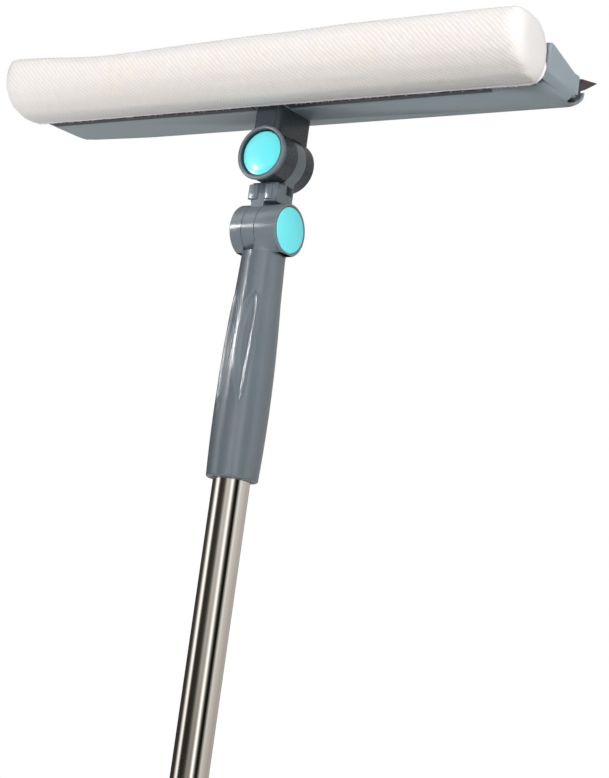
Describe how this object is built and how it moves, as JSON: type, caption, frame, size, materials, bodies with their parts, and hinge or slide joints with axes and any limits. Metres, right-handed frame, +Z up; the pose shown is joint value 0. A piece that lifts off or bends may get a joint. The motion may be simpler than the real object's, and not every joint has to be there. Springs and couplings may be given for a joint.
{
  "type": "window cleaning squeegee",
  "caption": "Telescopic-pole window squeegee with a microfibre washing pad, a rubber wiping blade and a head that swings and tilts on two locking button joints.",
  "frame": {"origin": "centre of the hand grip, on the pole's axis", "axes": "+Z up the pole towards the head, -Y towards the pad's side, +X along the head towards the side of the tilt button"},
  "size_m": [0.32, 0.0841, 0.8903],
  "materials": {
    "head_plastic": "satin blue-grey ABS",
    "joint_plastic": "satin blue-grey glass-filled nylon",
    "handle_plastic": "satin blue-grey ABS",
    "button_plastic": "smooth aqua acetal",
    "inner_plastic": "natural white acetal",
    "plate_plastic": "matte blue-grey ABS",
    "clamp_plastic": "matte grey nylon",
    "collar_plastic": "textured blue-grey ABS",
    "grip_rubber": "soft-touch blue-grey thermoplastic rubber",
    "holder_plastic": "matte dark grey extruded PVC",
    "blade_rubber": "smooth dark brown-black natural rubber",
    "microfibre": "woven cream-white microfibre",
    "foam": "open-cell polyurethane foam",
    "hook_tape": "white nylon hook tape",
    "polished_steel": "mirror-polished stainless steel",
    "spring_steel": "drawn spring wire",
    "screw_steel": "zinc-plated",
    "pin_steel": "ground steel"
  },
  "bodies": {
    "pole": {"pole_tube": "polished_steel", "end_cap": "collar_plastic", "hand_grip": "grip_rubber", "clamp_collet": "clamp_plastic"},
    "collar": {"twist_collar": "collar_plastic"},
    "mast": {"mast_tube": "polished_steel", "mast_bush": "inner_plastic", "grip_socket": "handle_plastic", "socket_screw": "screw_steel", "tilt_pin": "pin_steel", "tilt_pin_cap": "joint_plastic"},
    "tilt_lock": {"tilt_button": "button_plastic", "tilt_lock_gear": "inner_plastic"},
    "link": {"joint_link": "joint_plastic", "tilt_spring": "spring_steel", "swing_spring": "spring_steel"},
    "head": {"head_base": "head_plastic", "head_cover": "head_plastic", "pad_plate": "plate_plastic", "hook_strips": "hook_tape", "pad_core": "foam", "pad_cover": "microfibre", "plate_screws": "screw_steel", "blade_holder": "holder_plastic", "rubber_blade": "blade_rubber", "head_bracket": "joint_plastic", "bracket_screws": "screw_steel", "swing_pin": "pin_steel", "swing_pin_cap": "joint_plastic"},
    "swing_lock": {"swing_button": "button_plastic", "swing_lock_gear": "inner_plastic"}
  },
  "joints": [
    {"name": "collar_turn", "type": "hinge", "parent": "pole", "child": "collar", "pos_m": [0, 0, 0.36], "axis": [0, 0, 1], "range_deg": [-90, 0]},
    {"name": "pole_slide", "type": "slide", "parent": "pole", "child": "mast", "axis": [0, 0, 1], "range_m": [-0.185, 0.12]},
    {"name": "tilt", "type": "hinge", "parent": "mast", "child": "link", "pos_m": [0, 0, 0.7065], "axis": [1, 0, 0], "range_deg": [-90, 90]},
    {"name": "swing", "type": "hinge", "parent": "link", "child": "head", "pos_m": [0, 0, 0.744], "axis": [0, 1, 0], "range_deg": [-90, 90]},
    {"name": "tilt_press", "type": "slide", "parent": "mast", "child": "tilt_lock", "axis": [1, 0, 0], "range_m": [-0.0038, 0], "stiffness_N_per_m": 600, "springref_m": 0.002, "deforming": ["tilt_spring"]},
    {"name": "swing_press", "type": "slide", "parent": "head", "child": "swing_lock", "axis": [0, -1, 0], "range_m": [-0.0038, 0], "stiffness_N_per_m": 600, "springref_m": 0.002, "deforming": ["swing_spring"]}
  ]
}
